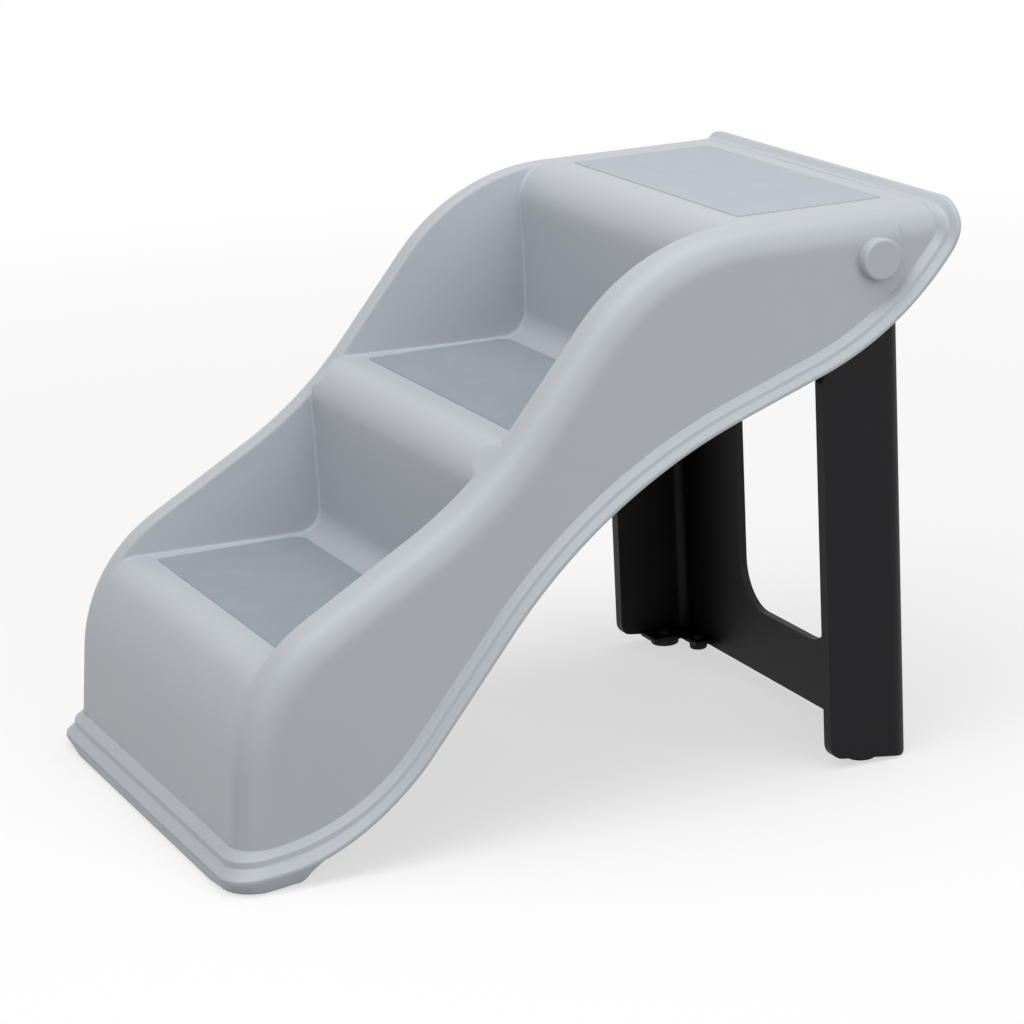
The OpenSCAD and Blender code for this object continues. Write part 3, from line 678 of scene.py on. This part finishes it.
def build_skirt(sizes, flange):
    """The band that hangs from the flange round the front, just clear of the floor."""
    wall, _, lip, _, _ = flange_half(sizes, flange, sizes.station_step)
    droop = flange.front_droop * front_part(flange, lip)
    toe, corner, end = (FRONT_X + x for x in (flange.skirt_toe, flange.skirt_corner, flange.skirt_end))
    rows = []
    for w, b, hang in zip(wall, lip, droop, strict=True):
        if b[0] > end:
            break
        top = b[2] - hang + flange.edge_round
        lift = flange.skirt_gap + flange.skirt_lift * smooth((b[0] - toe) / (corner - toe))
        low = lift + (top - lift) * smooth((b[0] - corner) / (end - corner))
        depth = (top - low) / (flange.flange_height - flange.front_droop)
        out = (b - w) / np.linalg.norm(b - w)
        side = abs(out[1])
        draft = flange.skirt_front_inset * (1 - side) + flange.skirt_side_inset * side
        inset = draft * min(1, depth)
        inner = w - SKIRT_TUCK * out
        soft = min(flange.edge_round, (top - low) / SKIRT_ROUND_PARTS)
        rows.append([
            (b[0], b[1], top),
            *[(*(b[:2] - out[:2] * (inset + soft * i)), low + soft * u) for i, u in SKIRT_ROUND],
            (inner[0], inner[1], low),
            (inner[0], inner[1], top),
        ])
    half = np.array(rows)
    other = half[1:][::-1].copy()
    other[:, :, 1] *= -1
    rows = np.concatenate([other, half])
    skirt = new_object("front_skirt", rows.reshape(-1, 3), tube_faces(*rows.shape[:2]), BAND_SHARP)
    merge(skirt, BAND_WELD)
    return skirt


# Ribs under the treads

RIB_COUNT = 4
RIB_THICKNESS = 2.4 * MM
RIB_DEPTH = 12 * MM
# How far a rib reaches into the skin, how far its points are apart, how far from the back it
# ends, the fewest points that make one, and the corners of its section
RIB_OVERLAP = 1 * MM
RIB_STEP = 6 * MM
RIB_BACK_GAP = 8 * MM
RIB_LEAST_POINTS = 3
RIB_CORNERS = 4


def build_ribs(sizes, flange):
    """Ribs along the underside, left out where the folded leg lies."""
    stair = Path(stair_corners(sizes, flange.flange_height + RIM_START), RIB_STEP)
    corner = np.array([tread_front[1] - sizes.nose_depth, tread_z[0] - sizes.skin])
    slope = unit(math.atan2(RISE, RUN))
    above = cross(slope, stair.points - corner) > RIB_DEPTH
    keep = above & (stair.points[:, 0] < BACK_X - RIB_BACK_GAP)
    edges = np.flatnonzero(np.diff(np.concatenate([[0], keep.astype(int), [0]])))
    span = sizes.tread_width * (RIB_COUNT - 1) / RIB_COUNT
    parts = []
    for first, last in edges.reshape(-1, 2):
        if last - first < RIB_LEAST_POINTS:
            continue
        points, into = stair.points[first:last], stair.right()[first:last]
        top = points + into * (sizes.skin - RIB_OVERLAP)
        low = points + into * (sizes.skin + RIB_DEPTH)
        for k in range(RIB_COUNT):
            y = -span / 2 + span * k / (RIB_COUNT - 1)
            y0, y1 = y - RIB_THICKNESS / 2, y + RIB_THICKNESS / 2
            verts = []
            for a, b in zip(top, low, strict=True):
                verts += [(a[0], y0, a[1]), (a[0], y1, a[1]), (b[0], y1, b[1]), (b[0], y0, b[1])]
            parts.append((verts, tube_faces(len(top), RIB_CORNERS)))
    ribs = joined("underside_ribs", parts)
    merge(ribs, BAND_WELD)
    return ribs


# Marks and stops round the leg's pivots

MARK_BESIDE_PIVOT = 20 * MM
MARK_WIDTH = 2 * MM
# Heights above the pivot between which the raised line runs
MARK_REACH = (8 * MM, 22 * MM)
MARK_PROUD = 0.6 * MM
MARK_TUCK = 1 * MM
MARK_ROWS = 8
# Thickness, width across the stairs and greatest height of a stop
STOP_SIZE = (4 * MM, 34 * MM, 28 * MM)
STOP_BEVEL = 0.4 * MM
STOP_BEVEL_STEPS = 2
STOP_UNDER_PIVOT = 15 * MM
STOP_GAP = 0.3 * MM
STOP_OVER_EDGE = 4 * MM


def block(low, high, bevel):
    """A bevelled block between two corners, as vertices and faces."""
    edit = bmesh.new()
    bmesh.ops.create_cube(edit, size=1)
    low, high = np.array(low), np.array(high)
    for vert in edit.verts:
        vert.co = Vector(low + (high - low) * (np.array(vert.co) + 0.5))
    bmesh.ops.bevel(
        edit, geom=edit.edges[:], offset=bevel, segments=STOP_BEVEL_STEPS, affect="EDGES", profile=0.5)
    verts = [tuple(v.co) for v in edit.verts]
    faces = [tuple(v.index for v in f.verts) for f in edit.faces]
    edit.free()
    return verts, faces


def pivot_axis():
    """x and z of the leg's pivot axis."""
    low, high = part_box("pivot_pin_left")
    return (low.x + high.x) / 2, (low.z + high.z) / 2


def build_marks(sizes, flange):
    """The raised line beside each pivot, on the shell's outer sides."""
    x, z = pivot_axis()
    r = sizes.outer_round
    shoulder = sizes.tread_width / 2 + sizes.side_width - r
    left, right = x + MARK_BESIDE_PIVOT, x + MARK_BESIDE_PIVOT + MARK_WIDTH
    section = (
        (left, -MARK_TUCK), (left, 0), (left + MARK_PROUD, MARK_PROUD),
        (right - MARK_PROUD, MARK_PROUD), (right, 0), (right, -MARK_TUCK),
    )
    parts = []
    for sign in SIDES.values():
        verts = []
        for height in np.linspace(z + MARK_REACH[0], z + MARK_REACH[1], MARK_ROWS):
            turn = math.asin(min(1, max(0, (height - (TOP_Z - r)) / r)))
            for edge, proud in section:
                y = shoulder + (r + proud) * math.cos(turn)
                verts.append((edge, sign * y, height + proud * math.sin(turn)))
        parts.append((verts, tube_faces(MARK_ROWS, len(section))))
    marks = joined("index_marks", parts, DETAIL_SHARP)
    merge(marks, MARK_WELD)
    return marks


def build_stops(sizes, flange):
    """The stop behind the leg under each pivot."""
    top = pivot_axis()[1] - STOP_UNDER_PIVOT
    heel = belly_path(flange, sizes.station_step).points
    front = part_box(LEG)[1].x + STOP_GAP
    wide = sizes.tread_width / 2 + sizes.side_width - sizes.skin
    thick, reach, tall = STOP_SIZE
    foot = max(top - tall, np.interp(front, heel[:, 0], heel[:, 1]) + STOP_OVER_EDGE)
    parts = []
    for sign in SIDES.values():
        y = sorted((sign * wide, sign * (wide - reach)))
        parts.append(block((front, y[0], foot), (front + thick, y[1], top), STOP_BEVEL))
    return joined("leg_stops", parts, DETAIL_SHARP)


# Shader maths


class Value:
    """A node socket that takes part in sums, each adding its Math node."""

    def __init__(self, tree, socket):
        self.tree, self.socket = tree, socket

    def _math(self, operation, *terms):
        node = self.tree.nodes.new("ShaderNodeMath")
        node.operation = operation
        for entry, term in zip(node.inputs, terms, strict=False):
            if isinstance(term, Value):
                self.tree.links.new(term.socket, entry)
            else:
                entry.default_value = term
        return Value(self.tree, node.outputs[0])

    def __add__(self, other):
        return self._math("ADD", self, other)

    def __radd__(self, other):
        return self._math("ADD", other, self)

    def __sub__(self, other):
        return self._math("SUBTRACT", self, other)

    def __mul__(self, other):
        return self._math("MULTIPLY", self, other)

    def __truediv__(self, other):
        return self._math("DIVIDE", self, other)

    def sine(self):
        return self._math("SINE", self)

    def maximum(self, other):
        return self._math("MAXIMUM", self, other)

    def minimum(self, other):
        return self._math("MINIMUM", self, other)


class Nodes:
    """The nodes of a material or a world being written."""

    def __init__(self, owner):
        owner.use_nodes = True
        self.owner, self.tree = owner, owner.node_tree
        self.tree.nodes.clear()

    def node(self, kind, settings=None, output=0, **entries):
        """Adds a node and gives one output as a Value. An entry is an input's name, with _ for
        each space, or i and the input's number."""
        node = self.tree.nodes.new(kind)
        for key, value in (settings or {}).items():
            setattr(node, key, value)
        for key, value in entries.items():
            name = key.replace("_", " ")
            entry = node.inputs[int(key[1:]) if key[1:].isdigit() else name]
            if isinstance(value, Value):
                self.tree.links.new(value.socket, entry)
            else:
                entry.default_value = value
        return Value(self.tree, node.outputs[output] if node.outputs else None)

    def mix(self, factor, first, second):
        """A colour between two others."""
        kind = {"data_type": "RGBA"}
        return self.node("ShaderNodeMix", kind, output=2, i0=factor, i6=first, i7=second)

    def place(self):
        """Object coordinates."""
        return self.node("ShaderNodeTexCoord", output=3)

    def noise(self, place, scale, detail=3.0, roughness=0.55):
        return self.node(
            "ShaderNodeTexNoise", Vector=place, Scale=scale, Detail=detail, Roughness=roughness)

    def surface(self, **entries):
        return self.end(self.node("ShaderNodeBsdfPrincipled", **entries))

    def end(self, shader):
        self.node("ShaderNodeOutputMaterial", Surface=shader)
        return self.owner


def with_alpha(rgb, scale=1.0):
    """A colour made lighter or darker by a scale, with its alpha."""
    return (*[min(1, c * scale) for c in rgb], 1.0)


def grey(value):
    return (value, value, value, 1.0)


# Noise scales and detail, depth of the grain's bump, tones as shares of the colour, roughness
# and how far it varies, and the mats' shine
PLASTIC_CLOUD_SCALE = 9.0
PLASTIC_GRAIN_SCALE = 900.0
PLASTIC_GRAIN_DETAIL = 2.0
PLASTIC_GRAIN_DEPTH = 0.2 * MM
PLASTIC_TONES = (0.965, 1.035)
MAT_CLOUD_SCALE = 30.0
MAT_GRAIN_SCALE = 700.0
MAT_TONES = (0.8, 1.2)
MAT_ROUGHNESS = 0.72
MAT_SHINE = 0.3
ROUGHNESS_SPREAD = 0.1
STREAK_SCALE = 300.0
STEEL_ROUGHNESS = 0.28
STEEL_SPREAD = 0.16
# The mats' mesh, its bump, and how much mesh, grain and cloud make of the height and tone
MESH_PITCH = 3.5 * MM
MESH_DEPTH = 0.3 * MM
MESH_BUMP = 0.5
MESH_HEIGHT = 0.5
GRAIN_HEIGHT = 0.3
MESH_TONE = 0.4
CLOUD_TONE = 0.4
BASE_TONE = 0.3


def moulded_plastic(name, rgb, roughness, grain=0.06, shine=0.4):
    """Plastic with a faint cloudiness and a fine moulded grain."""
    f = Nodes(bpy.data.materials.new(name))
    place = f.place()
    cloud = f.noise(place, PLASTIC_CLOUD_SCALE)
    fine = f.noise(place, PLASTIC_GRAIN_SCALE, detail=PLASTIC_GRAIN_DETAIL)
    low, high = (with_alpha(rgb, tone) for tone in PLASTIC_TONES)
    return f.surface(
        Normal=f.node("ShaderNodeBump", Strength=grain, Distance=PLASTIC_GRAIN_DEPTH, Height=fine),
        Base_Color=f.mix(cloud, low, high),
        Roughness=roughness - ROUGHNESS_SPREAD / 2 + cloud * ROUGHNESS_SPREAD,
        Specular_IOR_Level=shine,
    )


def mat_finish(name, rgb):
    """Soft tread mat with a fine mesh pressed into it."""
    f = Nodes(bpy.data.materials.new(name))
    place = f.place()
    turn = 2 * math.pi / MESH_PITCH
    across = (f.node("ShaderNodeSeparateXYZ", Vector=place) * turn).sine()
    along = (f.node("ShaderNodeSeparateXYZ", output=1, Vector=place) * turn).sine()
    mesh = across * along
    cloud = f.noise(place, MAT_CLOUD_SCALE)
    height = mesh * MESH_HEIGHT + f.noise(place, MAT_GRAIN_SCALE) * GRAIN_HEIGHT
    tone = (mesh * MESH_TONE + cloud * CLOUD_TONE + BASE_TONE).maximum(0.0).minimum(1.0)
    low, high = (with_alpha(rgb, share) for share in MAT_TONES)
    return f.surface(
        Normal=f.node("ShaderNodeBump", Strength=MESH_BUMP, Distance=MESH_DEPTH, Height=height),
        Base_Color=f.mix(tone, low, high),
        Roughness=MAT_ROUGHNESS + cloud * ROUGHNESS_SPREAD,
        Specular_IOR_Level=MAT_SHINE,
    )


def metal_finish(name, rgb):
    """Steel with a faintly uneven polish."""
    f = Nodes(bpy.data.materials.new(name))
    streak = f.noise(f.place(), STREAK_SCALE)
    rough = STEEL_ROUGHNESS + streak * STEEL_SPREAD
    return f.surface(Base_Color=with_alpha(rgb), Metallic=1.0, Roughness=rough)


def wear(item, material, slot, body, *nodes):
    """Gives a scene piece its finish and its body, and hides the CAD nodes that it stands for."""
    item.data.materials.clear()
    item.data.materials.append(material)
    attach(item, body)
    if nodes:
        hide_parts(*nodes)


def finish_node(name, material):
    """Gives a CAD node its finish. Its shape stays as packed."""
    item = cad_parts[name]
    item.data.materials.clear()
    item.data.materials.append(material)
    shade(item.data, NODE_SHARP)


class PETSTAIRS_OT_shell(bpy.types.Operator):
    """Add the moulded shell with its flange, skirt, ribs, marks and stops"""

    bl_idname = "petstairs.shell"
    bl_label = "Shell"

    def execute(self, context):
        sizes, flange = context.scene.stair_shell, context.scene.stair_flange
        finish = moulded_plastic("shell_plastic", context.scene.stair_finishes.shell, roughness=0.42)
        wear(build_shell(sizes, flange), finish, "shell", "shell", SHELL)
        for build in (build_flange, build_skirt, build_ribs, build_marks, build_stops):
            wear(build(sizes, flange), finish, "shell", "shell")
        return {"FINISHED"}


class PETSTAIRS_OT_mats(bpy.types.Operator):
    """Finish the three tread mats"""

    bl_idname = "petstairs.mats"
    bl_label = "Tread Mats"

    def execute(self, context):
        colours = context.scene.stair_finishes
        lower = mat_finish("mat_lower", colours.mat_lower)
        top = mat_finish("mat_top", colours.mat_top)
        for name in MATS:
            finish_node(name, top if name == MATS[-1] else lower)
        return {"FINISHED"}


class PETSTAIRS_OT_leg(bpy.types.Operator):
    """Finish the folding leg, its rubber feet and the front pads"""

    bl_idname = "petstairs.leg"
    bl_label = "Folding Leg"

    def execute(self, context):
        colours = context.scene.stair_finishes
        black = moulded_plastic("leg_plastic", colours.leg, roughness=0.5, grain=0.1, shine=0.22)
        finish_node(LEG, black)
        rubber = moulded_plastic("black_rubber", colours.rubber, roughness=0.7)
        for side in SIDES:
            for piece in ("leg_foot", "leg_stud", "front_pad"):
                finish_node(f"{piece}_{side}", rubber)
        return {"FINISHED"}


class PETSTAIRS_OT_pivots(bpy.types.Operator):
    """Finish the pins, bushes, washers and screws of both pivots"""

    bl_idname = "petstairs.pivots"
    bl_label = "Pivots"

    def execute(self, context):
        colours = context.scene.stair_finishes
        shell = moulded_plastic("pin_plastic", colours.shell, roughness=0.4)
        bush = moulded_plastic("bush_plastic", colours.bush, roughness=0.4)
        steel = metal_finish("zinc_steel", colours.steel)
        for side in SIDES:
            for piece, finish in (
                ("pivot_pin", shell), ("thrust_washer", bush), ("pivot_bush", bush),
                ("retaining_washer", steel), ("retaining_screw", steel),
            ):
                finish_node(f"{piece}_{side}", finish)
        return {"FINISHED"}


# Stage

# The camera's sensor in millimetres, and how far it sees in metres
SENSOR_WIDTH = 36
VIEW_END = 100
# Point that the soft lights face, in metres
LIGHTS_AIM = (0, 0, 0.25)
# The floor's least share of white, its tone to the camera, and its tone to the stairs
FLOOR_GLOW = 0.6
FLOOR_TONE = 0.88
FLOOR_BOUNCE = 0.45
# Brightness of the sky as light on the stairs
SKY_STRENGTH = 0.42
# Name of each soft light, its place and side in metres, and its power in watts
LIGHTS = (
    ("key", (-1.3, -0.7, 2.7), 2.0, 36.0),
    ("fill", (0.9, -3.2, 1.7), 2.4, 36.0),
    ("top", (0.3, -0.1, 2.8), 2.0, 24.0),
)


def camera_axes(stage):
    """Right, up and back unit vectors of the camera."""
    ca, sa = math.cos(stage.azimuth), math.sin(stage.azimuth)
    ce, se = math.cos(stage.elevation), math.sin(stage.elevation)
    back = Vector((sa * ce, -ca * ce, se))
    level = Vector((0, 0, 1)).cross(back).normalized()
    upright = back.cross(level)
    cr, sr = math.cos(stage.roll), math.sin(stage.roll)
    return cr * level + sr * upright, cr * upright - sr * level, back


class PETSTAIRS_OT_stage(bpy.types.Operator):
    """Add the floor, the soft lights and the camera"""

    bl_idname = "petstairs.stage"
    bl_label = "Stage"

    def execute(self, context):
        stage = context.scene.stair_stage
        self.camera(context, stage)
        self.floor(stage)
        self.lights(context)
        context.scene.view_settings.view_transform = "Standard"
        return {"FINISHED"}

    def camera(self, context, stage):
        right, upright, back = camera_axes(stage)
        start = Vector((tread_front[0], 0, tread_z[0]))
        eye = start + stage.across * right + stage.above * upright + stage.distance * back
        data = bpy.data.cameras.new("camera")
        data.sensor_width = SENSOR_WIDTH
        data.lens = stage.lens
        data.clip_end = VIEW_END
        camera = bpy.data.objects.new("camera", data)
        turn = Matrix((right, upright, back)).transposed().to_4x4()
        camera.matrix_world = Matrix.Translation(eye) @ turn
        context.scene.collection.objects.link(camera)
        context.scene.camera = camera

    def floor(self, stage):
        """A matte floor that turns white with distance and keeps the stairs' shadow."""
        h = stage.floor_radius
        corners = [(-h, -h, 0), (h, -h, 0), (h, h, 0), (-h, h, 0)]
        floor = new_object("floor", corners, [(0, 1, 2, 3)])
        f = Nodes(bpy.data.materials.new("floor"))
        place = f.node("ShaderNodeNewGeometry")
        length = f.node("ShaderNodeVectorMath", {"operation": "LENGTH"}, output=1, i0=place)
        fade = (length - stage.fade_start) / (stage.fade_end - stage.fade_start)
        pale = fade.maximum(0.0).minimum(1.0) * (1 - FLOOR_GLOW) + FLOOR_GLOW
        seen = self.seen(f)
        matte = f.node("ShaderNodeBsdfDiffuse", Color=f.mix(seen, grey(FLOOR_BOUNCE), grey(FLOOR_TONE)))
        white = f.node("ShaderNodeEmission", Color=grey(1), Strength=1.0)
        f.end(f.node("ShaderNodeMixShader", i0=pale * seen, i1=matte, i2=white))
        floor.data.materials.append(f.owner)

    def seen(self, f):
        """1 on rays from the camera or by way of a mirror or glass."""
        camera = f.node("ShaderNodeLightPath", output="Is Camera Ray")
        glossy = f.node("ShaderNodeLightPath", output="Is Glossy Ray")
        through = f.node("ShaderNodeLightPath", output="Is Transmission Ray")
        return (camera + glossy + through).minimum(1.0)

    def lights(self, context):
        """A soft sky that looks white to the camera, and the soft lights."""
        world = bpy.data.worlds.new("studio")
        context.scene.world = world
        f = Nodes(world)
        soft = f.node("ShaderNodeBackground", Color=grey(1), Strength=SKY_STRENGTH)
        white = f.node("ShaderNodeBackground", Color=grey(1), Strength=1.0)
        sky = f.node("ShaderNodeMixShader", i0=self.seen(f), i1=soft, i2=white)
        f.node("ShaderNodeOutputWorld", Surface=sky)
        for name, place, side, power in LIGHTS:
            data = bpy.data.lights.new(name, "AREA")
            data.size = side
            data.energy = power
            lamp = bpy.data.objects.new(name, data)
            aim = Vector(LIGHTS_AIM) - Vector(place)
            turn = aim.to_track_quat("-Z", "Y").to_matrix().to_4x4()
            lamp.matrix_world = Matrix.Translation(place) @ turn
            context.scene.collection.objects.link(lamp)


class PETSTAIRS_PT_panel(bpy.types.Panel):
    bl_idname = "PETSTAIRS_PT_panel"
    bl_label = "Pet Stairs"
    bl_space_type = "VIEW_3D"
    bl_region_type = "UI"
    bl_category = "Pet Stairs"

    def draw(self, context):
        column = self.layout.column(align=True)
        for operator in OPERATORS:
            column.operator(operator.bl_idname)


OPERATORS = (
    PETSTAIRS_OT_shell,
    PETSTAIRS_OT_mats,
    PETSTAIRS_OT_leg,
    PETSTAIRS_OT_pivots,
    PETSTAIRS_OT_stage,
)
GROUPS = {
    "stair_shell": ShellSizes,
    "stair_flange": FlangeSizes,
    "stair_finishes": Finishes,
    "stair_stage": StageSettings,
}
CLASSES = (*GROUPS.values(), *OPERATORS, PETSTAIRS_PT_panel)


def register():
    for item in CLASSES:
        bpy.utils.register_class(item)
    for name, group in GROUPS.items():
        setattr(bpy.types.Scene, name, bpy.props.PointerProperty(type=group))


def unregister():
    for name in GROUPS:
        delattr(bpy.types.Scene, name)
    for item in reversed(CLASSES):
        bpy.utils.unregister_class(item)


def main():
    register()
    for operator in OPERATORS:
        area, name = operator.bl_idname.split(".")
        getattr(getattr(bpy.ops, area), name)()


if __name__ == "__main__":
    main()
